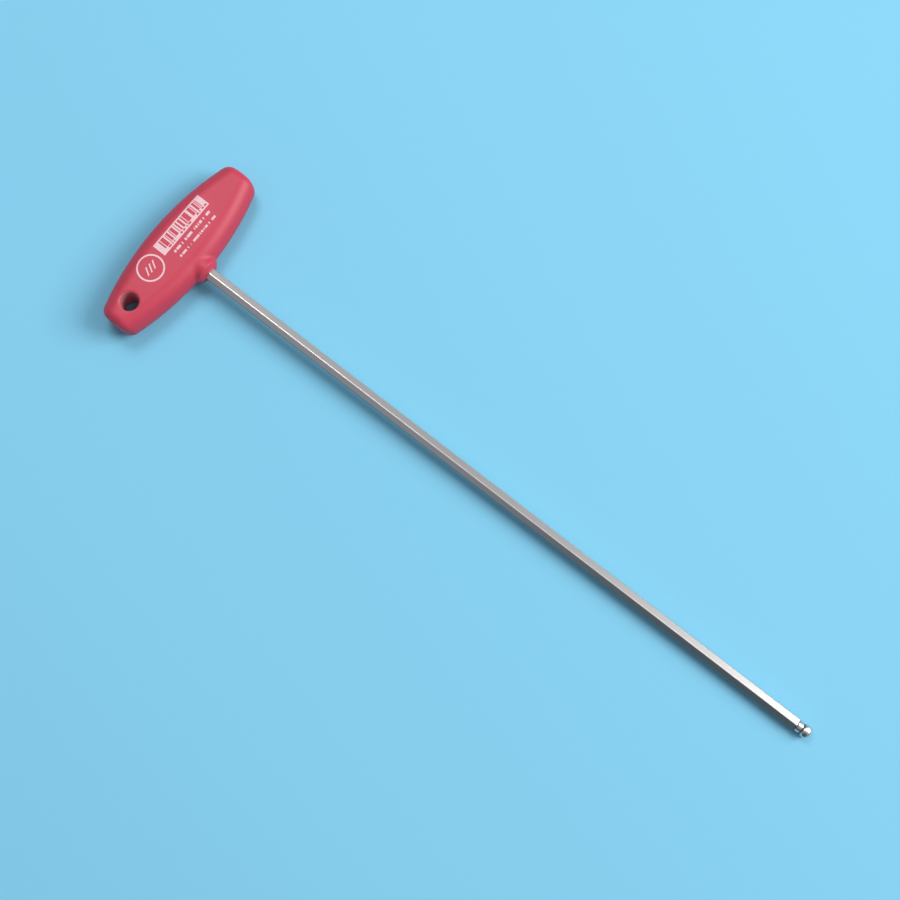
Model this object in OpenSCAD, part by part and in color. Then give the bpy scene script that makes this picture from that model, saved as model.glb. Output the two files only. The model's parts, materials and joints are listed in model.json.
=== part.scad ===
// Cross-handle hex key: a moulded handle, with a long hexagonal steel blade set square through one side
// of it and turned to a ball end at its tip.
//
// The pieces are drawn about the blade's own axis: X along the blade, Y along the handle, and Z through the
// flat faces of the handle. lying() then lays the key down as it comes to rest, with the blade-side edge
// of the underside and the end of the hexagon on the plane Z = 0, and the middle of its footprint at the
// origin.

/* [Handle] */
// Length of the handle
handle_len = 95; // [70:1:130]
// Width at the middle
handle_w = 32.5; // [29:0.5:40]
// Width that the two long sides narrow to at the ends
handle_end_w = 17.5; // [17:0.5:20]
// Thickness, which is also the height of the full-round sides
handle_t = 17; // [13:0.5:17.5]
// Radius of the crown across each end
crown_r = 30; // [24:1:60]
// Radius of the corners between the sides and the ends
corner_r = 5.5; // [3:0.5:6]
// Radius on the upper and lower edges of the ends
end_edge_r = 4.5; // [2:0.5:6]

/* [Hanging hole] */
// Diameter of the hole
hole_d = 9; // [6:0.5:10]
// Distance from the handle's end to the middle of the hole
hole_end = 12.5; // [11.5:0.5:16]
// Radius of the lip at both mouths
lip_r = 1; // [0.4:0.1:1.5]

/* [Collar] */
// Diameter of the round collar that the blade leaves through
collar_d = 13.8; // [12:0.2:15.6]
// How far the collar stands out from the handle's side
collar_out = 2.7; // [2.5:0.1:8]
// Length of the cone that narrows the collar
cone_len = 2.2; // [1.8:0.1:3.8]
// Wall of the collar's nose outside the blade's corners
nose_wall = 0.95; // [0.6:0.05:1.6]
// Radius on the two edges of the cone
cone_edge_r = 0.9; // [0.3:0.1:1]

/* [Blade] */
// Size across the flats of the hexagon
blade_af = 6; // [4:0.5:7]
// Length from the collar's nose to the tip
blade_len = 350; // [100:10:400]
// How much is broken off each of the six long edges
edge_break = 0.07; // [0.02:0.01:0.2]
// Turn of the hexagon from having a flat level with the handle's face
blade_roll = 19; // [0:1:29]
// Length held inside the moulding, behind the nose
shank_len = 28; // [18:1:32]
// Distance from the inner end to the anchor groove
groove_off = 5; // [3:0.5:8]
// Width of the anchor groove
groove_w = 3; // [2:0.5:5]
// Depth of the anchor groove below the flats
groove_depth = 0.4; // [0.2:0.1:0.8]

/* [Ball end] */
// How much smaller the ball's radius is than the hexagon's corners
ball_relief = 0.3; // [0.05:0.05:0.4]
// Diameter of the flat at the very end
tip_flat_d = 5; // [2:0.1:5.4]
// Depth of the neck below the flats
neck_depth = 0.3; // [0.2:0.1:0.8]
// Diameter of the waist, the thinnest place, where the neck meets the ball
waist_d = 4.8; // [2.5:0.1:5]
// Length of the taper from the neck to the waist
waist_len = 0.6; // [0.3:0.1:2]
// Distance from the very end to the shoulder where the full hexagon starts
neck_end = 7; // [6.5:0.1:10]
// Radius of the hollow where the neck meets the shoulder
shoulder_r = 0.6; // [0.3:0.1:1.5]

/* [Hidden] */
HANDLE_COLOR = "#c94458";
STEEL_COLOR = "#a9a8a6";

// Smoothness of turned surfaces
ROUND_FN = 96;
// Steps along a quarter of the outline: the long side, the corner and half of the crown
SIDE_STEPS = 9;
CORNER_STEPS = 5;
CROWN_STEPS = 3;
// Steps from the lower face to the upper face
LAYER_STEPS = 12;
// How far a cutter passes the face that it cuts
PASS = 1;

half_len = handle_len / 2;
half_w = handle_w / 2;
half_t = handle_t / 2;
hole_r = hole_d / 2;
hole_y = hole_end - half_len;

// The long sides are arcs that drop from half of handle_w to half of handle_end_w over half the length
side_drop = half_w - handle_end_w / 2;
side_r = (half_len ^ 2 + side_drop ^ 2) / (2 * side_drop);

// The smallest corner keeps to the width that is left on the flat faces at the ends
FACE_CORNER_SHARE = 0.6;
face_end_y = half_len - end_edge_r;
face_end_half_w = half_w - side_r + sqrt(side_r ^ 2 - face_end_y ^ 2) - half_t;
face_corner_r = min(corner_r, FACE_CORNER_SHARE * face_end_half_w);

// Places along the blade's axis, from the middle of the handle
nose_x = half_w + collar_out;
tip_x = nose_x + blade_len;
shank_x = nose_x - shank_len;
shoulder_x = tip_x - neck_end;

// Radii about the blade's axis, each counted from the hexagon's flats or corners
flat_r = blade_af / 2;
hex_corner_r = blade_af / sqrt(3);
edge_r = hex_corner_r - edge_break;
groove_r = flat_r - groove_depth;
neck_r = flat_r - neck_depth;
ball_r = hex_corner_r - ball_relief;
ball_x = tip_x - sqrt(ball_r ^ 2 - (tip_flat_d / 2) ^ 2);
waist_x = ball_x - sqrt(ball_r ^ 2 - (waist_d / 2) ^ 2);

// Resting: the edge of the flat underside is touch_x from the middle, and the blade has come down until
// either its ball or the last corner of its hexagon, at the shoulder, touches
touch_x = half_w - half_t;
function below(r) = r * cos(max(0, acos(flat_r / r) - blade_roll));
function tilt_at(reach, r) = asin(half_t / norm([reach, below(r)])) - atan(below(r) / reach);
rest_tilt = min(tilt_at(ball_x - touch_x, min(ball_r, edge_r)), tilt_at(shoulder_x - touch_x, edge_r));
rest_z = half_t + touch_x * sin(rest_tilt);
footprint_x0 = -touch_x * cos(rest_tilt) - half_t;
footprint_x1 = tip_x * cos(rest_tilt) + tip_flat_d / 2 * sin(rest_tilt);

// Points along an arc of radius r about c, from angle a0 towards a1 and without its last point
function arc(c, r, a0, a1, steps) =
    [for (i = [0 : steps - 1]) let (a = a0 + (a1 - a0) * i / steps) c + r * [cos(a), sin(a)]];

// Middle of a corner of radius r that touches the inside of the side arc and of the crown arc
function corner_middle(side_c, side_arc, crown_c, crown_arc, r) =
    let (
        gap = crown_c - side_c,
        dist = norm(gap),
        along = ((side_arc - r) ^ 2 - (crown_arc - r) ^ 2 + dist ^ 2) / (2 * dist),
        across = sqrt((side_arc - r) ^ 2 - along ^ 2),
        unit = gap / dist
    )
    side_c + along * unit + across * [-unit.y, unit.x];

// Quarter of the handle's outline, drawn inset from the widest outline by side_in and end_in
function quarter(side_in, end_in, r) =
    let (
        side_arc = side_r - side_in,
        crown_arc = crown_r - end_in,
        side_c = [half_w - side_r, 0],
        crown_c = [0, half_len - crown_r],
        mid = corner_middle(side_c, side_arc, crown_c, crown_arc, r),
        side_a = atan2(mid.y - side_c.y, mid.x - side_c.x),
        crown_a = atan2(mid.y - crown_c.y, mid.x - crown_c.x)
    )
    concat(
        arc(side_c, side_arc, 0, side_a, SIDE_STEPS),
        arc(mid, r, side_a, crown_a, CORNER_STEPS),
        arc(crown_c, crown_arc, crown_a, 90, CROWN_STEPS)
    );

// Whole outline at height z, anticlockwise from +X: the quarter, turned over into the other three
function outline(z) =
    let (
        side_in = half_t - sqrt(max(0, half_t ^ 2 - z ^ 2)),
        above = max(0, abs(z) - (half_t - end_edge_r)),
        end_in = end_edge_r - sqrt(max(0, end_edge_r ^ 2 - above ^ 2)),
        r = corner_r - (corner_r - face_corner_r) * side_in / half_t,
        q = quarter(side_in, end_in, r),
        n = len(q),
        top = [0, half_len - end_in]
    )
    concat(
        [for (p = q) [p.x, p.y, z]],
        [[top.x, top.y, z]],
        [for (i = [n - 1 : -1 : 1]) [-q[i].x, q[i].y, z]],
        [for (p = q) [-p.x, -p.y, z]],
        [[top.x, -top.y, z]],
        [for (i = [n - 1 : -1 : 1]) [q[i].x, -q[i].y, z]]
    );

// The bar of the handle, lofted from outline to outline between its two flat faces
module bar() {
    rings = [for (i = [0 : LAYER_STEPS]) outline(-half_t * cos(180 * i / LAYER_STEPS))];
    n = len(rings[0]);
    walls = [for (k = [0 : LAYER_STEPS - 1], i = [0 : n - 1])
        let (j = (i + 1) % n)
        [k * n + i, (k + 1) * n + i, (k + 1) * n + j, k * n + j]];
    lower_face = [for (i = [0 : n - 1]) i];
    upper_face = [for (i = [n - 1 : -1 : 0]) LAYER_STEPS * n + i];
    polyhedron([for (ring = rings) each ring], concat([lower_face, upper_face], walls), convexity = 4);
}

// Turns a profile drawn as [distance along the blade, radius] about the blade's axis
module turned() {
    rotate([0, 90, 0])
    rotate_extrude($fn = ROUND_FN)
    mirror([1, -1])
    children();
}

// Round collar with a cone to its nose, and both edges of the cone rounded
module collar() {
    shoulder_c = [nose_x - cone_len, collar_d / 2 - cone_edge_r];
    nose_c = [nose_x - cone_edge_r, hex_corner_r + nose_wall - cone_edge_r / 2];
    run = nose_c - shoulder_c;
    out = cone_edge_r * [-run.y, run.x] / norm(run);
    turned() {
        polygon([
            [0, 0],
            [0, collar_d / 2],
            [shoulder_c.x, collar_d / 2],
            shoulder_c,
        ]);
        polygon([
            [0, 0],
            shoulder_c,
            shoulder_c + out,
            nose_c + out,
            nose_c,
            [nose_x, nose_c.y],
            [nose_x, 0],
        ]);
        translate(shoulder_c) circle(cone_edge_r, $fn = ROUND_FN);
        translate(nose_c) circle(cone_edge_r, $fn = ROUND_FN);
    }
}

// Cutter for the hanging hole, flared by a quarter round at both mouths
module hole_cutter() {
    wall_half = half_t - lip_r;
    translate([0, hole_y, 0])
    rotate_extrude($fn = ROUND_FN)
    difference() {
        translate([0, -half_t - PASS]) square([hole_r + lip_r, handle_t + 2 * PASS]);
        translate([hole_r, -wall_half]) square([lip_r + PASS, 2 * wall_half]);
        for (side = [-1, 1])
            translate([hole_r + lip_r, side * wall_half]) circle(lip_r, $fn = ROUND_FN);
    }
}

// Turned outline of the blade: the shank with its anchor groove, the shoulder, the neck with its taper to
// the waist, and the ball
module blade_profile() {
    difference() {
        translate([shank_x, 0]) square([shoulder_x - shank_x, edge_r]);
        translate([shank_x + groove_off, groove_r]) square([groove_w, edge_r]);
    }
    polygon([
        [shoulder_x - PASS, 0],
        [waist_x + waist_len, 0],
        [waist_x + waist_len, waist_d - neck_r],
        [waist_x - waist_len, neck_r],
        [shoulder_x - PASS, neck_r],
    ]);
    difference() {
        translate([shoulder_x, 0]) square([shoulder_r, edge_r]);
        translate([shoulder_x + shoulder_r, neck_r + shoulder_r]) circle(shoulder_r, $fn = ROUND_FN);
    }
    intersection() {
        translate([ball_x, 0]) circle(ball_r, $fn = ROUND_FN);
        translate([ball_x - ball_r, 0]) square([tip_x - ball_x + ball_r, ball_r]);
    }
}

// The hexagonal bar within its turned outline
module blade_body() {
    intersection() {
        translate([shank_x - PASS, 0, 0])
        rotate([0, 90, 0])
        rotate([0, 0, 30 - blade_roll])
        linear_extrude(tip_x - shank_x + 2 * PASS)
        circle(hex_corner_r, $fn = 6);
        turned() blade_profile();
    }
}

// Lays the key down on the end of its blade and the blade-side edge of the handle
module lying() {
    translate([-(footprint_x0 + footprint_x1) / 2, 0, rest_z])
    rotate([0, rest_tilt, 0])
    children();
}

// The one-piece moulding, shrunk round the blade
module handle() {
    color(HANDLE_COLOR)
    lying()
    difference() {
        union() {
            bar();
            collar();
        }
        hole_cutter();
        blade_body();
    }
}

// The steel blade, from its anchored end to its ball
module blade() {
    color(STEEL_COLOR) lying() blade_body();
}

handle();
blade();
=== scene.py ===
# %% [markdown]
# # A cross-handle hex key, dressed for its portrait
#
# The object is a hand tool of two pieces: a red moulded handle, and a long hexagonal steel blade that the
# handle is moulded round. The solids come packed in a frame, at their real size and place. This lesson
# models both pieces again with the soft edges and the finishes that the eye expects, and lights them on a
# sheet of pale blue paper.

import json
import math

import bmesh
import bpy
from mathutils import Matrix, Vector


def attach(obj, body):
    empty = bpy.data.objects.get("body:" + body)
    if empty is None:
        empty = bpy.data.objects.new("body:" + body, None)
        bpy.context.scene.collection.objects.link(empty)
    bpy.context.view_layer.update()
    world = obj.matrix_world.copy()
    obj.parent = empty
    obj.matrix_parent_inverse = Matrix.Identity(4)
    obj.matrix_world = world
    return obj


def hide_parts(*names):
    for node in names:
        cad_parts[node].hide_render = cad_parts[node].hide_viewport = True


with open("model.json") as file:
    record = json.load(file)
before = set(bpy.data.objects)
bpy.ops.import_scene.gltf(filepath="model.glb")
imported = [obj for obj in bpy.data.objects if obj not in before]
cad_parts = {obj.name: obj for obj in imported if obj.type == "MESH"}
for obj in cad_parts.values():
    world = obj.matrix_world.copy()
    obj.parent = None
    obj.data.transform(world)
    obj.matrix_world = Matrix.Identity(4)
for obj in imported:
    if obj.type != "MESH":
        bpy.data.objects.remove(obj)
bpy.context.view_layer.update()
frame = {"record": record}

# %% [markdown]
# ## Millimetres and the way the key lies
#
# Blender works in metres and a toolmaker in millimetres, so one helper turns sizes over. The key lies a
# little tilted, on the edge of its handle and on the end of its blade. It is far easier to model it straight,
# with the blade along X, the handle along Y and the middle of the handle at the origin, and to lay each
# finished piece down with one matrix. The record's mounts give that matrix: the tip's axis is the blade's
# direction, and the hanging hole's axis stands square on the handle's flat face.

# %% Helpers for sizes and places
MM = 0.001


def mm(*values):
    """Millimetres to metres: a number for one value, a vector for several."""
    scaled = [value * MM for value in values]
    return scaled[0] if len(scaled) == 1 else Vector(scaled)


mounts = {mount["name"]: mount for mount in frame["record"]["mounts"]}
key_x = Vector(mounts["drive_tip"]["axis"]).normalized()
key_z = Vector(mounts["hanging_hole"]["axis"]).normalized()
key_y = key_z.cross(key_x)
hole_at = Vector(mounts["hanging_hole"]["pos_m"])
handle_middle = Vector((hole_at.x, 0, hole_at.z))
LAID = Matrix.Translation(handle_middle) @ Matrix((key_x, key_y, key_z)).transposed().to_4x4()
print("the key leans by", round(math.degrees(math.asin(-key_x.z)), 3), "degrees")

# %% [markdown]
# ## The camera
#
# The picture was taken by hand from about two thirds of a metre above the table, almost straight down. The
# lean, the turn and the distance below came from fitting the outline of the handle, the hanging hole and the
# edges of the blade. A camera is placed first, so that every later step can be judged through it.

# %% Place the camera
IMAGE_SIZE = 900
FOCAL_PIXELS = 1418
SENSOR = 36
CAMERA_DISTANCE = mm(668.3)
CAMERA_LEAN = math.radians(10.8)
BLADE_TURN = math.radians(37.9)
AIM_AT = mm(-16.0, 4.0, 0)
NEAREST_SEEN = mm(10)

picture_right = Vector((math.cos(BLADE_TURN), math.sin(BLADE_TURN), 0))
picture_up = Vector((-math.sin(BLADE_TURN), math.cos(BLADE_TURN), 0))
towards_camera = Vector((0, 0, 1)) * math.cos(CAMERA_LEAN) - picture_up * math.sin(CAMERA_LEAN)

camera_data = bpy.data.cameras.new("camera")
camera_data.sensor_width = SENSOR
camera_data.lens = FOCAL_PIXELS / IMAGE_SIZE * SENSOR
camera_data.clip_start = NEAREST_SEEN
camera = bpy.data.objects.new("camera", camera_data)
bpy.context.scene.collection.objects.link(camera)
camera_axes = Matrix((picture_right, towards_camera.cross(picture_right), towards_camera)).transposed()
camera.matrix_world = Matrix.Translation(AIM_AT + CAMERA_DISTANCE * towards_camera) @ camera_axes.to_4x4()
bpy.context.scene.camera = camera
print("camera at", [round(c / MM, 1) for c in camera.location], "mm, lens", round(camera_data.lens, 1))

# %% [markdown]
# ## Drawing with single points
#
# Both pieces start from outlines. An outline can be drawn in Blender by starting with one point, extruding
# it from corner to corner, and spinning it round a centre wherever the outline is an arc. A primitive that
# is merged to its centre gives that first point.

# %% Helpers that draw, select and turn
SEED_SIZE = mm(1)
NEAR = mm(0.001)
LATHE_STEPS = 72


def alone(piece):
    """Leaves only this piece selected, and makes it the active one."""
    bpy.ops.object.select_all(action="DESELECT")
    piece.select_set(True)
    bpy.context.view_layer.objects.active = piece


def new_piece(name, add_primitive, **sizes):
    """Adds a primitive as a piece of its own and goes into edit mode on it."""
    bpy.ops.object.select_all(action="DESELECT")
    add_primitive(**sizes)
    piece = bpy.context.object
    piece.name = name
    bpy.ops.object.mode_set(mode="EDIT")
    bpy.ops.mesh.select_mode(type="VERT")
    return piece


def start_at(place):
    """Merges what was just added to one point, and moves that point to its place."""
    bpy.ops.mesh.merge(type="CENTER")
    bpy.ops.transform.translate(value=place)


def draw_along(points):
    """Extrudes the selected point through the points of a list, which starts where the point is."""
    for here, there in zip(points, points[1:]):
        bpy.ops.mesh.extrude_vertices_move(TRANSFORM_OT_translate={"value": there - here})


def select(piece, kind, test):
    """In edit mode, selects the vertices, edges or faces that pass a test, and nothing else."""
    bpy.ops.mesh.select_mode(type={"verts": "VERT", "edges": "EDGE", "faces": "FACE"}[kind])
    bpy.ops.mesh.select_all(action="DESELECT")
    shape = bmesh.from_edit_mesh(piece.data)
    for part in getattr(shape, kind):
        if test(part):
            part.select_set(True)
    bmesh.update_edit_mesh(piece.data)


def arc(centre, radius, start, end, steps):
    """Points of an arc in a flat outline, both ends included, with its angles in degrees."""
    angles = [math.radians(start + (end - start) * step / steps) for step in range(steps + 1)]
    return [(centre[0] + radius * math.cos(a), centre[1] + radius * math.sin(a)) for a in angles]


def lathe(name, outline):
    """Turns an outline of (distance along X, radius) in mm about the X axis, into a closed solid."""
    points = [mm(along, 0, radius) for along, radius in outline]
    piece = new_piece(name, bpy.ops.mesh.primitive_plane_add, size=SEED_SIZE)
    start_at(points[0])
    draw_along(points)
    bpy.ops.mesh.select_all(action="SELECT")
    bpy.ops.mesh.spin(steps=LATHE_STEPS, angle=2 * math.pi, center=(0, 0, 0), axis=(1, 0, 0))
    bpy.ops.mesh.select_all(action="SELECT")
    bpy.ops.mesh.remove_doubles(threshold=NEAR)
    bpy.ops.mesh.normals_make_consistent(inside=False)
    bpy.ops.object.mode_set(mode="OBJECT")
    return piece


def apply_modifier(piece, kind, **settings):
    """Adds a modifier with its settings and applies it."""
    alone(piece)
    modifier = piece.modifiers.new(kind.lower(), kind)
    for name, value in settings.items():
        setattr(modifier, name, value)
    bpy.ops.object.modifier_apply(modifier=modifier.name)


def combine(piece, tool, operation):
    """Joins, cuts or crosses a piece with a tool, and throws the tool away."""
    apply_modifier(piece, "BOOLEAN", object=tool, operation=operation, solver="EXACT")
    bpy.data.objects.remove(tool)


def report(piece):
    """Prints a piece's size and how fine it is."""
    corners = [Vector(corner) for corner in piece.bound_box]
    size = [max(c[i] for c in corners) - min(c[i] for c in corners) for i in range(3)]
    print(piece.name, "mm:", [round(s / MM, 2) for s in size], "faces:", len(piece.data.polygons))


# %% [markdown]
# ## The bar of the handle
#
# The handle is one moulding: a bar with two flat faces and full-round long sides, which narrows in a gentle
# arc towards both ends. Seen from above, a quarter of its outline is three arcs: the long side, the corner
# and half of the crown across the end. The full-round side is drawn the way contour lines draw a hill. Each
# height has its own outline, set in as far as the round has turned in, and neighbouring outlines are
# bridged. One eighth of the bar is enough, because mirrors give the rest.

# %% Sizes of the bar, in mm
HANDLE_LENGTH = 95
HANDLE_WIDTH = 32.5
HANDLE_END_WIDTH = 17.5
HANDLE_THICKNESS = 17
CROWN_RADIUS = 30
CORNER_RADIUS = 5.5
FACE_CORNER_SHARE = 0.6  # of the width that the flat face keeps at the ends
END_EDGE_RADIUS = 4.5

half_length = HANDLE_LENGTH / 2
half_width = HANDLE_WIDTH / 2
half_thickness = HANDLE_THICKNESS / 2
side_drop = half_width - HANDLE_END_WIDTH / 2
side_radius = (half_length**2 + side_drop**2) / (2 * side_drop)
face_end = half_length - END_EDGE_RADIUS
face_end_width = half_width - side_radius + math.sqrt(side_radius**2 - face_end**2) - half_thickness
face_corner_radius = min(CORNER_RADIUS, FACE_CORNER_SHARE * face_end_width)
print("long side's radius", round(side_radius, 1), "mm, face corner's", round(face_corner_radius, 2), "mm")

# %% Draw one outline of the bar at a given height
SIDE_STEPS = 24
CORNER_STEPS = 10
CROWN_STEPS = 8
DOWN = (0, 0, -1)

print("points on a quarter outline:", SIDE_STEPS + CORNER_STEPS + CROWN_STEPS + 1)


def touching_circle(side_centre, side_r, crown_centre, crown_r, r):
    """Centre of the corner's circle, which touches the side's arc and the crown's arc from inside."""
    gap = crown_centre - side_centre
    along = ((side_r - r) ** 2 - (crown_r - r) ** 2 + gap.length**2) / (2 * gap.length)
    across = math.sqrt((side_r - r) ** 2 - along**2)
    unit = gap.normalized()
    return side_centre + along * unit + across * Vector((-unit.y, unit.x))


def spin_round(centre, height, angle, steps):
    """Carries the selected point on round a centre, anticlockwise from above."""
    bpy.ops.mesh.spin(steps=steps, angle=angle, center=mm(centre.x, centre.y, height), axis=DOWN)


def draw_outline(height):
    """Adds a quarter of the bar's outline at a height above the middle, in edit mode."""
    side_in = half_thickness - math.sqrt(max(0, half_thickness**2 - height**2))
    above = max(0, height - (half_thickness - END_EDGE_RADIUS))
    end_in = END_EDGE_RADIUS - math.sqrt(max(0, END_EDGE_RADIUS**2 - above**2))
    corner_r = CORNER_RADIUS - (CORNER_RADIUS - face_corner_radius) * side_in / half_thickness
    side_centre = Vector((half_width - side_radius, 0))
    crown_centre = Vector((0, half_length - CROWN_RADIUS))
    side_r = side_radius - side_in
    crown_r = CROWN_RADIUS - end_in
    corner = touching_circle(side_centre, side_r, crown_centre, crown_r, corner_r)
    side_angle = math.atan2(corner.y - side_centre.y, corner.x - side_centre.x)
    crown_angle = math.atan2(corner.y - crown_centre.y, corner.x - crown_centre.x)
    bpy.ops.mesh.select_all(action="DESELECT")
    bpy.ops.mesh.primitive_plane_add(size=SEED_SIZE)
    start_at(mm(half_width - side_in, 0, height))
    spin_round(side_centre, height, side_angle, SIDE_STEPS)
    spin_round(corner, height, crown_angle - side_angle, CORNER_STEPS)
    spin_round(crown_centre, height, math.pi / 2 - crown_angle, CROWN_STEPS)


# %% Stack the outlines and bridge them
LAYERS = 16

bar = new_piece("handle_moulding", bpy.ops.mesh.primitive_plane_add, size=SEED_SIZE)
bpy.ops.mesh.delete(type="VERT")
heights = [half_thickness * math.sin(math.pi / 2 * layer / LAYERS) for layer in range(LAYERS + 1)]
for height in heights:
    draw_outline(height)


def lies_at(edge, height):
    """True if both ends of an edge are at this height in mm."""
    return all(abs(vert.co.z - mm(height)) < NEAR for vert in edge.verts)


for lower, upper in zip(heights, heights[1:]):
    select(bar, "edges", lambda edge: lies_at(edge, lower) or lies_at(edge, upper))
    bpy.ops.mesh.bridge_edge_loops()
print("outlines bridged:", len(heights))

# %% Close the flat face and mirror the eighth into the whole bar
face_corner_place = mm(half_width - half_thickness, 0, half_thickness)
face_end_place = mm(0, face_end, half_thickness)
face_middle_place = mm(0, 0, half_thickness)
select(bar, "verts", lambda vert: (vert.co - face_end_place).length < NEAR)
draw_along([face_end_place, face_middle_place, face_corner_place])
bpy.ops.mesh.select_all(action="SELECT")
bpy.ops.mesh.remove_doubles(threshold=NEAR)
select(bar, "edges", lambda edge: lies_at(edge, half_thickness))
bpy.ops.mesh.edge_face_add()
bpy.ops.object.mode_set(mode="OBJECT")
apply_modifier(bar, "MIRROR", use_axis=(True, True, True), merge_threshold=NEAR)
alone(bar)
bpy.ops.object.mode_set(mode="EDIT")
bpy.ops.mesh.select_all(action="SELECT")
bpy.ops.mesh.normals_make_consistent(inside=False)
bpy.ops.object.mode_set(mode="OBJECT")
report(bar)

# %% [markdown]
# ## The collar and the hanging hole
#
# The blade leaves the handle through a round collar with a short cone at its nose. Both are turned shapes,
# so they are drawn as half a section and spun like work on a lathe. The hanging hole is cut by a tool that is
# turned in the same way, with a quarter round at both mouths, because a moulding has no sharp lips.

# %% Turn the collar and join it to the bar
BLADE_AF = 6
COLLAR_DIAMETER = 13.8
COLLAR_OUT = 2.7
CONE_LENGTH = 2.2
CONE_EDGE_RADIUS = 0.9
NOSE_WALL = 0.95
ROUND_STEPS = 8

hex_corner_radius = BLADE_AF / math.sqrt(3)
collar_radius = COLLAR_DIAMETER / 2
nose_x = half_width + COLLAR_OUT
shoulder_centre = Vector((nose_x - CONE_LENGTH, collar_radius - CONE_EDGE_RADIUS))
nose_centre = Vector((nose_x - CONE_EDGE_RADIUS, hex_corner_radius + NOSE_WALL - CONE_EDGE_RADIUS / 2))
cone_run = nose_centre - shoulder_centre
cone_normal_angle = math.degrees(math.atan2(cone_run.x, -cone_run.y))
collar_outline = [
    (0, 0),
    (0, collar_radius),
    *arc(shoulder_centre, CONE_EDGE_RADIUS, 90, cone_normal_angle, ROUND_STEPS),
    *arc(nose_centre, CONE_EDGE_RADIUS, cone_normal_angle, 0, ROUND_STEPS),
    (nose_x, 0),
]
collar = lathe("collar", collar_outline)
combine(bar, collar, "UNION")
report(bar)

# %% Turn the cutter of the hanging hole and cut
HOLE_DIAMETER = 9
HOLE_FROM_END = 12.5
LIP_RADIUS = 1
PASS = 1

hole_radius = HOLE_DIAMETER / 2
hole_y = HOLE_FROM_END - half_length
wall_half = half_thickness - LIP_RADIUS
mouth_radius = hole_radius + LIP_RADIUS
cutter_outline = [
    (-half_thickness - PASS, 0),
    (-half_thickness - PASS, mouth_radius),
    *arc((-wall_half, mouth_radius), LIP_RADIUS, 180, 270, ROUND_STEPS),
    *arc((wall_half, mouth_radius), LIP_RADIUS, -90, 0, ROUND_STEPS),
    (half_thickness + PASS, mouth_radius),
    (half_thickness + PASS, 0),
]
hole_cutter = lathe("hole_cutter", cutter_outline)
hole_cutter.data.transform(Matrix.Translation(mm(0, hole_y, 0)) @ Matrix.Rotation(math.pi / 2, 4, "Y"))
combine(bar, hole_cutter, "DIFFERENCE")
report(bar)

# %% [markdown]
# ## Weld it into one moulding
#
# A boolean leaves a hard crease where the collar stands on the bar, while a real mould has a small radius
# there. A voxel remesh turns the joined shape into one even skin. A light smoothing takes off what the
# voxels leave, and a stronger one, held to the root of the collar by a vertex group, lays the radius in. The
# group's weight falls off towards the edge of its reach, in mm, so that the radius runs out gently.

# %% Remesh, smooth, and round the collar's root
VOXEL = 0.34
SMOOTHING_STEP = 0.5
SKIN_SMOOTHING = 5
ROOT_SMOOTHING = 80
ROOT_GROUP = "collar_root"
ROOT_REACH = 2.6
ROOT_FALL = 2

apply_modifier(bar, "REMESH", mode="VOXEL", voxel_size=mm(VOXEL))


def side_surface_x(y, z):
    """Distance of the bar's long side from the middle, in mm, at a place on it."""
    inset = half_thickness - math.sqrt(max(0, half_thickness**2 - z**2))
    return half_width - y**2 / (2 * side_radius) - inset


root = bar.vertex_groups.new(name=ROOT_GROUP)
for vert in bar.data.vertices:
    x, y, z = vert.co / MM
    from_wall = math.hypot(y, z) - collar_radius
    if x > 0 and abs(from_wall) < ROOT_REACH and abs(z) < half_thickness:
        reach = math.hypot(from_wall, x - side_surface_x(y, z)) / ROOT_REACH
        if reach < 1:
            root.add([vert.index], min(1, ROOT_FALL * (1 - reach)), "REPLACE")
apply_modifier(bar, "SMOOTH", factor=SMOOTHING_STEP, iterations=SKIN_SMOOTHING)
root_smoothing = {"factor": SMOOTHING_STEP, "iterations": ROOT_SMOOTHING, "vertex_group": ROOT_GROUP}
apply_modifier(bar, "SMOOTH", **root_smoothing)
bar.vertex_groups.clear()
report(bar)

# %% [markdown]
# ## The blade
#
# The blade is drawn hexagonal bar, whose long edges come off the die slightly rounded. It is added as a
# cylinder with six sides, and its long edges are bevelled. The tip is turned: a shoulder with a small hollow,
# a neck with a waist, and a ball that keeps the six flats, so that the key can tilt in a screw. Crossing the
# hexagonal bar with a turned blank leaves exactly what a lathe leaves of such a bar.

# %% Draw the hexagonal bar and round its long edges
BLADE_LENGTH = 350
SHANK_LENGTH = 28
BLADE_ROLL = math.radians(19)
LONG_EDGE_BEVEL = 0.35
EDGE_SEGMENTS = 4

tip_x = nose_x + BLADE_LENGTH
shank_x = nose_x - SHANK_LENGTH
stock_length = tip_x - shank_x + 2 * PASS
stock_middle = (tip_x + shank_x) / 2
along_x = Matrix.Rotation(-BLADE_ROLL, 3, "X") @ Matrix.Rotation(math.pi / 2, 3, "Y")


def hex_stock(name, corner_radius, length, middle):
    """Hexagonal bar along X, rolled as the blade is, left in edit mode."""
    piece = new_piece(
        name,
        bpy.ops.mesh.primitive_cylinder_add,
        vertices=6,
        radius=mm(corner_radius),
        depth=mm(length),
        location=mm(middle, 0, 0),
        rotation=along_x.to_euler(),
    )
    bpy.ops.object.mode_set(mode="OBJECT")
    bpy.ops.object.transform_apply(location=True, rotation=True, scale=True)
    bpy.ops.object.mode_set(mode="EDIT")
    return piece


blade = hex_stock("blade_bar", hex_corner_radius, stock_length, stock_middle)
select(blade, "edges", lambda edge: abs(edge.verts[0].co.x - edge.verts[1].co.x) > mm(1))
bpy.ops.mesh.bevel(offset=mm(LONG_EDGE_BEVEL), segments=EDGE_SEGMENTS, affect="EDGES")
bpy.ops.object.mode_set(mode="OBJECT")
report(blade)

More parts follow.
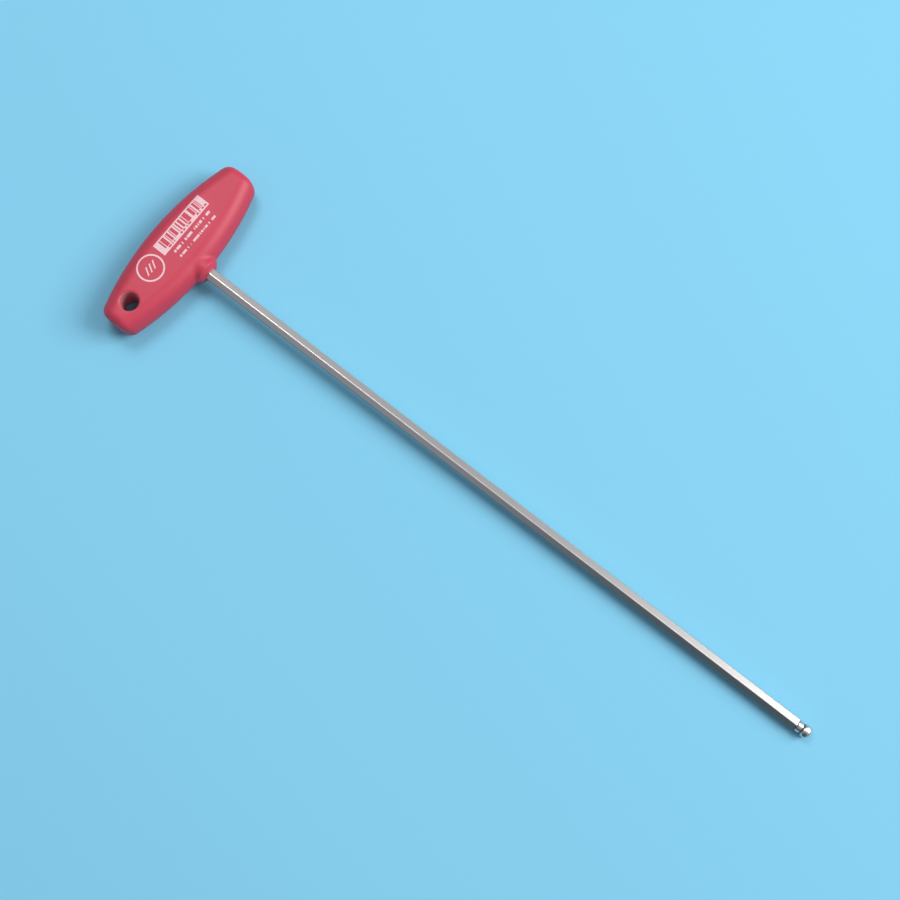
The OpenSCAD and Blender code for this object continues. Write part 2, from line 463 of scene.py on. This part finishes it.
# %% Turn the blank of the blade
GROOVE_FROM_END = 5
GROOVE_WIDTH = 3
GROOVE_DEPTH = 0.4
BALL_RELIEF = 0.3
TIP_FLAT = 5
NECK_DEPTH = 0.3
WAIST = 4.8
WAIST_TAPER = 0.6
NECK_END = 7
SHOULDER_RADIUS = 0.6
BALL_STEPS = 32

flat_radius = BLADE_AF / 2
blank_radius = hex_corner_radius + PASS
neck_radius = flat_radius - NECK_DEPTH
groove_radius = flat_radius - GROOVE_DEPTH
ball_radius = hex_corner_radius - BALL_RELIEF
ball_x = tip_x - math.sqrt(ball_radius**2 - (TIP_FLAT / 2) ** 2)
shoulder_x = tip_x - NECK_END
groove_x = shank_x + GROOVE_FROM_END
waist_radius = WAIST / 2
waist_x = ball_x - math.sqrt(ball_radius**2 - waist_radius**2)
ball_start = 180 - math.degrees(math.asin(waist_radius / ball_radius))
ball_end = math.degrees(math.asin(TIP_FLAT / 2 / ball_radius))
hollow_centre = (shoulder_x + SHOULDER_RADIUS, neck_radius + SHOULDER_RADIUS)
blank_outline = [
    (shank_x, 0),
    (shank_x, blank_radius),
    (groove_x, blank_radius),
    (groove_x, groove_radius),
    (groove_x + GROOVE_WIDTH, groove_radius),
    (groove_x + GROOVE_WIDTH, blank_radius),
    (shoulder_x, blank_radius),
    *arc(hollow_centre, SHOULDER_RADIUS, 180, 270, ROUND_STEPS),
    (waist_x - WAIST_TAPER, neck_radius),
    *arc((ball_x, 0), ball_radius, ball_start, ball_end, BALL_STEPS),
    (tip_x, 0),
]
blank = lathe("blank", blank_outline)
combine(blade, blank, "INTERSECT")
report(blade)

# %% [markdown]
# ## The pocket
#
# The plastic is shrunk tight round the steel. A hexagonal bar, a hair larger than the blade, cuts the pocket
# in the finished skin, so that the collar's nose keeps a crisp edge round the blade.

# %% Cut the pocket in the handle
POCKET_CLEARANCE = 0.03

pocket_length = SHANK_LENGTH + PASS
pocket = hex_stock("pocket", hex_corner_radius + POCKET_CLEARANCE, pocket_length, shank_x + pocket_length / 2)
bpy.ops.object.mode_set(mode="OBJECT")
combine(bar, pocket, "DIFFERENCE")
report(bar)

# %% Shade the pieces and lay them down
SHARP_SKIN = math.radians(50)
SHARP_STEEL = math.radians(28)
FACE_WEIGHT = 90


def finish_shading(piece, sharp_angle):
    """Smooth shading up to an angle, with the large flats keeping their own direction."""
    alone(piece)
    bpy.ops.object.shade_smooth_by_angle(angle=sharp_angle)
    apply_modifier(piece, "WEIGHTED_NORMAL", keep_sharp=True, weight=FACE_WEIGHT)


finish_shading(bar, SHARP_SKIN)
finish_shading(blade, SHARP_STEEL)
for piece in (bar, blade):
    piece.data.transform(LAID)
    piece.data.update()
    report(piece)

# %% [markdown]
# ## Colours and nodes
#
# Colours are written as the hex values that a picture shows, and Blender's shaders want linear light, so one
# function turns them. Another small function adds a node with its settings and links.

# %% Helpers for colours and nodes
def linear(hex_colour):
    """An sRGB hex colour as linear red, green, blue and alpha."""
    channels = [int(hex_colour[i : i + 2], 16) / 255 for i in (1, 3, 5)]
    return [c / 12.92 if c <= 0.04045 else ((c + 0.055) / 1.055) ** 2.4 for c in channels] + [1]


print("middle grey in linear light:", round(linear("#808080")[0], 3))


def add_node(tree, kind, inputs=None, **settings):
    """Adds a node with its settings. Each input takes a value, a socket, or another node's result."""
    node = tree.nodes.new("ShaderNode" + kind)
    for name, value in settings.items():
        setattr(node, name, value)
    for name, value in (inputs or {}).items():
        if isinstance(value, bpy.types.Node):
            value = next(output for output in value.outputs if output.enabled)
        if isinstance(value, bpy.types.NodeSocket):
            tree.links.new(value, node.inputs[name])
        else:
            node.inputs[name].default_value = value
    return node


def new_material(name):
    """A node material with an empty tree, and that tree."""
    material = bpy.data.materials.new(name)
    material.use_nodes = True
    material.node_tree.nodes.clear()
    return material, material.node_tree


# %% [markdown]
# Every pattern on the key is drawn in millimetres of the upright key: X along the blade, Y along the handle
# and Z up from the blade's axis. A piece's Object coordinates are those of the world, because its object
# stays at the origin. One Mapping node takes the lean out and scales metres to millimetres. The Mix node has
# its numbers at inputs 2 and 3 and its colours at inputs 6 and 7.

# %% The place of a point on the upright key
UPRIGHT = LAID.inverted()
print("back to upright by", [round(math.degrees(angle), 3) for angle in UPRIGHT.to_euler()], "degrees")
TO_KEY_MM = {
    "Location": UPRIGHT.translation / MM,
    "Rotation": UPRIGHT.to_euler(),
    "Scale": Vector((1, 1, 1)) / MM,
}


def key_coordinates(tree):
    """The shaded point's place on the upright key in mm."""
    coordinates = add_node(tree, "TexCoord")
    return add_node(tree, "Mapping", {"Vector": coordinates.outputs["Object"], **TO_KEY_MM})


# %% [markdown]
# ## The handle's finish
#
# The handle is injection moulded in a tough engineering plastic, such as polyamide, dyed red right through.
# The mould has a fine spark-eroded skin, so the plastic is satin: lights on it are broad and soft. The upper
# face has pale pad printing, which is a thin film of white ink that lets a little red through. The print is
# laid out here as plain shapes: a panel with bars, two rows of ticks and a ring with three strokes. A shape
# is a mask, made from comparisons of the two coordinates on the face. The wall of the hanging hole has
# painted light: its red is paled towards grey by the distance from the hole's axis, to lift the shade there.

# %% Start the plastic
handle_plastic, tree = new_material("moulded_red_polyamide")
print("started", handle_plastic.name)
key_place = key_coordinates(tree)
axes = add_node(tree, "SeparateXYZ", {"Vector": key_place})
across = axes.outputs["X"]
along = axes.outputs["Y"]
up = axes.outputs["Z"]


def rectangle(across_from, across_to, along_from, along_to):
    """A mask that is 1 inside a rectangle on the handle's face and 0 outside it."""
    across_middle = (across_from + across_to) / 2
    along_middle = (along_from + along_to) / 2
    in_width = {0: across, 1: across_middle, 2: across_to - across_middle}
    in_length = {0: along, 1: along_middle, 2: along_to - along_middle}
    width_mask = add_node(tree, "Math", in_width, operation="COMPARE")
    length_mask = add_node(tree, "Math", in_length, operation="COMPARE")
    return add_node(tree, "Math", {0: width_mask, 1: length_mask}, operation="MULTIPLY")


def chance_by_cell(pitch, share):
    """A mask that is 1 in a share of the cells that cut the handle's length at a pitch, picked by chance."""
    cells = add_node(tree, "Math", {0: along, 1: pitch}, operation="SNAP")
    chance = add_node(tree, "TexWhiteNoise", {"W": cells}, noise_dimensions="1D")
    return add_node(tree, "Math", {0: chance.outputs["Value"], 1: share}, operation="LESS_THAN")


# %% The printed panel, with bars and small marks left bare
# Limits across the handle and then along it, in mm.
PANEL_LIMITS = (-8.5, -1.1, -7.5, 25.1)
BAR_LIMITS = (-7.8, -3.0, -4.6, 24.3)
MARK_LIMITS = (-2.7, -1.8, -4.6, 24.3)
BAR_PITCH = 0.42
MARK_PITCH = 0.62
BARE_SHARE = 0.52

panel = rectangle(*PANEL_LIMITS)
bar_area = rectangle(*BAR_LIMITS)
mark_area = rectangle(*MARK_LIMITS)
bar_cells = chance_by_cell(BAR_PITCH, BARE_SHARE)
mark_cells = chance_by_cell(MARK_PITCH, BARE_SHARE)
bare_bars = add_node(tree, "Math", {0: bar_area, 1: bar_cells}, operation="MULTIPLY")
bare_marks = add_node(tree, "Math", {0: mark_area, 1: mark_cells}, operation="MULTIPLY")
bare = add_node(tree, "Math", {0: bare_bars, 1: bare_marks}, operation="MAXIMUM")
panel_ink = add_node(tree, "Math", {0: panel, 1: bare}, operation="SUBTRACT")
print("panel across and along the handle, in mm:", PANEL_LIMITS)

# %% The two rows of ticks
TICK_PITCH = 0.55
TICK_SHARE = 0.62
ROW_LIMITS = (
    (0.7, 2.0, -3.3, 9.4),
    (0.7, 2.0, 11.1, 22.3),
    (4.4, 5.5, -3.3, 4.6),
    (4.4, 5.5, 6.3, 22.3),
)

ticks = chance_by_cell(TICK_PITCH, TICK_SHARE)
row_areas = [rectangle(*limits) for limits in ROW_LIMITS]
row_area = row_areas[0]
for area in row_areas[1:]:
    row_area = add_node(tree, "Math", {0: row_area, 1: area}, operation="MAXIMUM")
rows = add_node(tree, "Math", {0: ticks, 1: row_area}, operation="MULTIPLY")
print("tick areas:", len(row_areas), "at a pitch of", TICK_PITCH, "mm")

# %% The ring with three slanted strokes
RING_CENTRE = Vector((-2.5, -16.3, 0))
RING_RADIUS = 6.4
RING_LINE = 0.85
STROKES = 3
STROKE_PITCH = 2.3
STROKE_LINE = 0.8
STROKE_HALF = 1.9
STROKE_SLANT = 0.6

to_ring = add_node(tree, "VectorMath", {0: key_place, 1: RING_CENTRE}, operation="SUBTRACT")
flat_to_ring = add_node(tree, "VectorMath", {0: to_ring, 1: (1, 1, 0)}, operation="MULTIPLY")
from_ring = add_node(tree, "VectorMath", {0: flat_to_ring}, operation="LENGTH").outputs["Value"]
ring = add_node(tree, "Math", {0: from_ring, 1: RING_RADIUS, 2: RING_LINE / 2}, operation="COMPARE")
ring_axes = add_node(tree, "SeparateXYZ", {"Vector": to_ring})
slant = add_node(
    tree,
    "Math",
    {0: ring_axes.outputs["X"], 1: STROKE_SLANT, 2: ring_axes.outputs["Y"]},
    operation="MULTIPLY_ADD",
)
from_stroke = add_node(tree, "Math", {0: slant, 1: STROKE_PITCH / 2}, operation="PINGPONG")
stroke_lines = add_node(tree, "Math", {0: from_stroke, 1: STROKE_LINE / 2}, operation="LESS_THAN")
stroke_width = add_node(tree, "Math", {0: ring_axes.outputs["X"], 1: 0, 2: STROKE_HALF}, operation="COMPARE")
stroke_count = add_node(tree, "Math", {0: slant, 1: 0, 2: STROKES / 2 * STROKE_PITCH}, operation="COMPARE")
stroke_area = add_node(tree, "Math", {0: stroke_width, 1: stroke_count}, operation="MULTIPLY")
strokes = add_node(tree, "Math", {0: stroke_lines, 1: stroke_area}, operation="MULTIPLY")
sign = add_node(tree, "Math", {0: ring, 1: strokes}, operation="MAXIMUM")
print("ring:", 2 * RING_RADIUS, "mm across")

# %% The ink film, on the upper face only and a little uneven
INK_COVER = 0.68
THIN_INK_COVER = 0.44
INK_CLOUD = 0.5
CLOUD_THIN = 0.3
CLOUD_THICK = 0.55
INK_DEPTH = 0.6

upper_face = add_node(tree, "Math", {0: up, 1: half_thickness - INK_DEPTH}, operation="GREATER_THAN")
shapes = add_node(tree, "Math", {0: panel_ink, 1: rows}, operation="MAXIMUM")
shapes = add_node(tree, "Math", {0: shapes, 1: sign}, operation="MAXIMUM")
printed = add_node(tree, "Math", {0: shapes, 1: upper_face}, operation="MULTIPLY")
ink_clouds = add_node(tree, "TexNoise", {"Vector": key_place, "Scale": 1 / INK_CLOUD, "Detail": 2})
film_range = {
    "Value": ink_clouds.outputs["Fac"],
    "From Min": CLOUD_THIN,
    "From Max": CLOUD_THICK,
    "To Min": THIN_INK_COVER,
    "To Max": INK_COVER,
}
film = add_node(tree, "MapRange", film_range)
ink = add_node(tree, "Math", {0: printed, 1: film.outputs["Result"]}, operation="MULTIPLY")
print("ink covers", THIN_INK_COVER, "to", INK_COVER)

# %% The red itself, clouded a little by the flow of the plastic in the mould, with painted light in the hole
RED_DEEP = "#BE354A"
RED_BRIGHT = "#CC3E55"
INK_WHITE = "#FBEFF2"
FLOW_SIZE = 14
# Painted light in the hanging hole: a pale grey mixed into the red near the hole's wall.
PAINTED_HOLE_LIGHT = "#D6C0C0"
HOLE_LIGHT_COVER = 0.33
HOLE_LIGHT_REACH = 0.5

flow = add_node(tree, "TexNoise", {"Vector": key_place, "Scale": 1 / FLOW_SIZE, "Detail": 3})
reds = {"Factor": flow.outputs["Fac"], 6: linear(RED_DEEP), 7: linear(RED_BRIGHT)}
clean_red = add_node(tree, "Mix", reds, data_type="RGBA")
# Painted light: the wall of the hanging hole is paled towards grey, to lift the shade inside the hole.
to_hole = add_node(tree, "VectorMath", {0: key_place, 1: (0, hole_y, 0)}, operation="SUBTRACT")
flat_to_hole = add_node(tree, "VectorMath", {0: to_hole, 1: (1, 1, 0)}, operation="MULTIPLY")
from_hole = add_node(tree, "VectorMath", {0: flat_to_hole}, operation="LENGTH").outputs["Value"]
hole_light_range = {"From Min": hole_radius + HOLE_LIGHT_REACH, "From Max": hole_radius, "To Min": 0, "To Max": HOLE_LIGHT_COVER}
hole_light = add_node(tree, "MapRange", {"Value": from_hole, **hole_light_range}).outputs["Result"]
red = add_node(tree, "Mix", {"Factor": hole_light, 6: clean_red, 7: linear(PAINTED_HOLE_LIGHT)}, data_type="RGBA")
printed_red = add_node(tree, "Mix", {"Factor": ink, 6: red, 7: linear(INK_WHITE)}, data_type="RGBA")
print("dust reaches", hole_radius + HOLE_LIGHT_REACH, "mm from the hole's axis")

# %% [markdown]
# The shader is a Principled one with the refractive index of a plastic and a mid roughness. Two fine noises
# feed its bump: the grain of the spark-eroded mould, drawn a little coarser than real so that it shows at
# this distance, and the slow waviness that a thick moulding gets as it shrinks.

# %% Finish the plastic
PLASTIC_IOR = 1.5
PLASTIC_ROUGHNESS = 0.48
SKIN_GRAIN = 0.45
GRAIN_DEPTH = mm(0.03)
GRAIN_STRENGTH = 0.35
WAVE_SIZE = 9
WAVE_DEPTH = mm(0.15)
WAVE_STRENGTH = 0.5

grain = add_node(tree, "TexNoise", {"Vector": key_place, "Scale": 1 / SKIN_GRAIN, "Detail": 2})
grain_height = {"Height": grain.outputs["Fac"], "Strength": GRAIN_STRENGTH, "Distance": GRAIN_DEPTH}
grain_bump = add_node(tree, "Bump", grain_height)
wave = add_node(tree, "TexNoise", {"Vector": key_place, "Scale": 1 / WAVE_SIZE, "Detail": 1})
wave_height = {"Height": wave.outputs["Fac"], "Strength": WAVE_STRENGTH, "Distance": WAVE_DEPTH}
skin_bump = add_node(tree, "Bump", {"Normal": grain_bump, **wave_height})
plastic_settings = {
    "Base Color": printed_red,
    "Roughness": PLASTIC_ROUGHNESS,
    "IOR": PLASTIC_IOR,
    "Normal": skin_bump,
}
plastic = add_node(tree, "BsdfPrincipled", plastic_settings)
add_node(tree, "OutputMaterial", {"Surface": plastic})
print(handle_plastic.name, "has", len(tree.nodes), "nodes")

# %% [markdown]
# ## The blade's finish
#
# The blade is tool steel drawn through a die and then nickel plated. Plating over drawn bar is satin: it
# mirrors the room as long soft bands, and very fine lines run along the bar. The neck and the ball are
# turned, so their lines run round instead. Both kinds of line are a noise that is stretched along one
# direction. Real draw lines are a few hundredths of a millimetre apart, so they are drawn coarser here, to
# show at all.
#
# The upper long edges are painted a brighter steel as a painted highlight along the ridge, and the lower
# ones a dark grey as painted shade that dims what they mirror. A point's distance from the blade's axis tells
# the edges from the flats. The two turned hollows, at the end of the hexagon and at the waist, are painted
# dark as shade.

# %% Build the plated steel
STEEL = "#DEDED9"
STEEL_SHADE = "#D1D1CC"
STEEL_ROUGHNESS = 0.33
# Painted highlight on the upper long edges and painted shade on the lower ones, set by the distance from the
# axis.
PAINTED_RIDGE_HIGHLIGHT = "#F6F4F2"
PAINTED_LOWER_EDGE_SHADE = "#8A8886"
PAINTED_HIGHLIGHT_ABOVE = 1.8
# Painted shade in the two turned hollows, at the end of the hexagon and at the waist.
PAINTED_HOLLOW_SHADE = "#4C4A48"
HOLLOW_SHADE_COVER = 0.8
SHOULDER_SHADE_WIDTH = 0.3
WAIST_SHADE_WIDTH = 0.5
PAINTED_EDGE_STARTS = 3.27
PAINTED_EDGE_FULL = 3.33
LINE_LENGTH = 25
LINE_WIDTH = 0.2
LINE_DEPTH = mm(0.01)
LINE_STRENGTH = 0.3
TURNED_PITCH = 0.25

blade_steel, tree = new_material("satin_nickel_plated_steel")
key_place = key_coordinates(tree)
steel_axes = add_node(tree, "SeparateXYZ", {"Vector": key_place})
drawn_scale = (1 / LINE_LENGTH, 1 / LINE_WIDTH, 1 / LINE_WIDTH)
drawn_place = add_node(tree, "Mapping", {"Vector": key_place, "Scale": drawn_scale})
drawn = add_node(tree, "TexNoise", {"Vector": drawn_place, "Scale": 1, "Detail": 2})
turned_place = add_node(tree, "Mapping", {"Vector": key_place, "Scale": (1 / TURNED_PITCH, 0, 0)})
turned = add_node(tree, "TexNoise", {"Vector": turned_place, "Scale": 1, "Detail": 2})
is_turned = add_node(tree, "Math", {0: steel_axes.outputs["X"], 1: shoulder_x}, operation="GREATER_THAN")
line_kinds = {"Factor": is_turned, 2: drawn.outputs["Fac"], 3: turned.outputs["Fac"]}
lines = add_node(tree, "Mix", line_kinds, data_type="FLOAT")
steel_tones = {"Factor": lines, 6: linear(STEEL_SHADE), 7: linear(STEEL)}
drawn_steel = add_node(tree, "Mix", steel_tones, data_type="RGBA")
off_axis = add_node(tree, "VectorMath", {0: key_place, 1: (0, 1, 1)}, operation="MULTIPLY")
axis_distance = add_node(tree, "VectorMath", {0: off_axis}, operation="LENGTH").outputs["Value"]
# Painted light on the long edges: a painted highlight on the upper ones, painted shade on the lower ones.
painted_edge_range = {"Value": axis_distance, "From Min": PAINTED_EDGE_STARTS, "From Max": PAINTED_EDGE_FULL}
edge = add_node(tree, "MapRange", painted_edge_range).outputs["Result"]
painted_highlight_side = add_node(tree, "Math", {0: steel_axes.outputs["Z"], 1: PAINTED_HIGHLIGHT_ABOVE}, operation="GREATER_THAN")
painted_edge_kinds = {"Factor": painted_highlight_side, 6: linear(PAINTED_LOWER_EDGE_SHADE), 7: linear(PAINTED_RIDGE_HIGHLIGHT)}
painted_edge_light = add_node(tree, "Mix", painted_edge_kinds, data_type="RGBA")
painted_edge_tones = {"Factor": edge, 6: drawn_steel, 7: painted_edge_light}
steel_with_painted_edges = add_node(tree, "Mix", painted_edge_tones, data_type="RGBA")
# Painted shade in the two turned hollows, at the end of the hexagon and at the waist.
shoulder_place = {0: steel_axes.outputs["X"], 1: shoulder_x + SHOULDER_SHADE_WIDTH / 2, 2: SHOULDER_SHADE_WIDTH}
near_shoulder = add_node(tree, "Math", shoulder_place, operation="COMPARE")
waist_place = {0: steel_axes.outputs["X"], 1: waist_x, 2: WAIST_SHADE_WIDTH}
near_waist = add_node(tree, "Math", waist_place, operation="COMPARE")
hollows = add_node(tree, "Math", {0: near_shoulder, 1: near_waist}, operation="MAXIMUM")
hollow_shade = add_node(tree, "Math", {0: hollows, 1: HOLLOW_SHADE_COVER}, operation="MULTIPLY")
hollow_shade_tones = {"Factor": hollow_shade, 6: steel_with_painted_edges, 7: linear(PAINTED_HOLLOW_SHADE)}
steel_colour = add_node(tree, "Mix", hollow_shade_tones, data_type="RGBA")
line_height = {"Height": lines, "Strength": LINE_STRENGTH, "Distance": LINE_DEPTH}
line_bump = add_node(tree, "Bump", line_height)
steel_settings = {
    "Base Color": steel_colour,
    "Metallic": 1.0,
    "Roughness": STEEL_ROUGHNESS,
    "Normal": line_bump,
}
steel = add_node(tree, "BsdfPrincipled", steel_settings)
add_node(tree, "OutputMaterial", {"Surface": steel})
print(blade_steel.name, "has", len(tree.nodes), "nodes")

# %% [markdown]
# ## Hand the pieces over to the frame
#
# Each new piece takes the place of its imported solid, which is hidden, rides on the root body, and takes its
# material.

# %% Replace the imported solids
for piece, solid, slot, material in (
    (bar, "handle", "handle_plastic", handle_plastic),
    (blade, "blade", "blade_steel", blade_steel),
):
    piece.data.materials.clear()
    piece.data.materials.append(material)
    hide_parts(solid)
    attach(piece, "root")
    print(piece.name, "stands for", solid)

# %% [markdown]
# ## The paper and the light
#
# The key lies on smooth pale blue paper. The room is soft, even and a little violet, and a large window light
# comes from the upper right of the picture. A weaker lamp high on the other side softens the window's shadows
# and gives the handle a faint shadow of its own to the right. A small light overhead draws the handle's
# crest and the blade's ridge. A dark card at the bottom of the picture gives the blade's near facet
# something dark to mirror, the way photographers shade metal.

# %% Lay the paper
PAPER_BLUE = "#82CCE9"
PAPER_SIDE = 6.0
PAPER_ROUGHNESS = 0.9
FIBRE_SIZE = mm(1.1)
FIBRE_DEPTH = mm(0.05)
FIBRE_STRENGTH = 0.15

paper, tree = new_material("pale_blue_paper")
paper_coordinates = add_node(tree, "TexCoord")
fibre_settings = {"Vector": paper_coordinates.outputs["Object"], "Scale": 1 / FIBRE_SIZE, "Detail": 3}
fibres = add_node(tree, "TexNoise", fibre_settings)
fibre_height = {"Height": fibres.outputs["Fac"], "Strength": FIBRE_STRENGTH, "Distance": FIBRE_DEPTH}
fibre_bump = add_node(tree, "Bump", fibre_height)
paper_settings = {
    "Base Color": linear(PAPER_BLUE),
    "Roughness": PAPER_ROUGHNESS,
    "Normal": fibre_bump,
}
paper_shader = add_node(tree, "BsdfPrincipled", paper_settings)
add_node(tree, "OutputMaterial", {"Surface": paper_shader})

bpy.ops.object.select_all(action="DESELECT")
bpy.ops.mesh.primitive_plane_add(size=PAPER_SIDE)
floor = bpy.context.object
floor.name = "paper_sheet"
floor.data.materials.append(paper)
print("paper:", PAPER_SIDE, "m square")

# %% Light the room
ROOM_COLOUR = "#F7F1FC"
ROOM_LIGHT = 0.34
WINDOW_DIRECTION = (0.60, 0.52, 0.61)
WINDOW_DISTANCE = 3.0
WINDOW_SIZE = 1.6
WINDOW_WATTS = 74
LAMP_DIRECTION = (-0.43, 0.28, 0.86)
LAMP_DISTANCE = 2.0
LAMP_SIZE = 0.8
LAMP_WATTS = 12
OVERHEAD_DIRECTION = (0.25, 0.22, 0.94)
OVERHEAD_DISTANCE = 1.2
OVERHEAD_SIZE = 0.42
OVERHEAD_WATTS = 0.7

world = bpy.data.worlds.new("room")
bpy.context.scene.world = world
world.use_nodes = True
world.node_tree.nodes["Background"].inputs["Color"].default_value = linear(ROOM_COLOUR)
world.node_tree.nodes["Background"].inputs["Strength"].default_value = ROOM_LIGHT
bpy.context.scene.view_settings.view_transform = "Standard"


def area_light(name, direction, distance, size, watts):
    """A square area light that looks at the key from a direction, unseen by the camera."""
    data = bpy.data.lights.new(name, "AREA")
    data.size = size
    data.energy = watts
    light = bpy.data.objects.new(name, data)
    bpy.context.scene.collection.objects.link(light)
    away = Vector(direction).normalized()
    light.location = away * distance
    light.rotation_euler = away.to_track_quat("Z", "Y").to_euler()
    light.visible_camera = False
    print(name, "light:", watts, "W at", distance, "m")


area_light("window", WINDOW_DIRECTION, WINDOW_DISTANCE, WINDOW_SIZE, WINDOW_WATTS)
area_light("lamp", LAMP_DIRECTION, LAMP_DISTANCE, LAMP_SIZE, LAMP_WATTS)
area_light("overhead", OVERHEAD_DIRECTION, OVERHEAD_DISTANCE, OVERHEAD_SIZE, OVERHEAD_WATTS)

# %% Stand the dark card
CARD_DIRECTION = Vector((0.47, -0.88, 0.12)).normalized()
CARD_DISTANCE = 0.7
CARD_SIZE = 0.7
CARD_DARK = "#262628"
CARD_PALE = "#2E2E30"
CARD_GRAIN = mm(5)
CARD_ROUGHNESS = 0.9

card_material, tree = new_material("black_card")
card_coordinates = add_node(tree, "TexCoord")
card_place = {"Vector": card_coordinates.outputs["Object"], "Scale": 1 / CARD_GRAIN}
card_grain = add_node(tree, "TexNoise", card_place)
card_tones = {"Factor": card_grain.outputs["Fac"], 6: linear(CARD_DARK), 7: linear(CARD_PALE)}
card_shade = add_node(tree, "Mix", card_tones, data_type="RGBA")
card_shader = add_node(tree, "BsdfPrincipled", {"Base Color": card_shade, "Roughness": CARD_ROUGHNESS})
add_node(tree, "OutputMaterial", {"Surface": card_shader})

bpy.ops.object.select_all(action="DESELECT")
bpy.ops.mesh.primitive_plane_add(size=CARD_SIZE)
card = bpy.context.object
card.name = "dark_card"
card.location = CARD_DIRECTION * CARD_DISTANCE
card.rotation_euler = CARD_DIRECTION.to_track_quat("Z", "Y").to_euler()
card.visible_camera = False
card.data.materials.append(card_material)
print("card:", CARD_SIZE, "m square at", CARD_DISTANCE, "m")
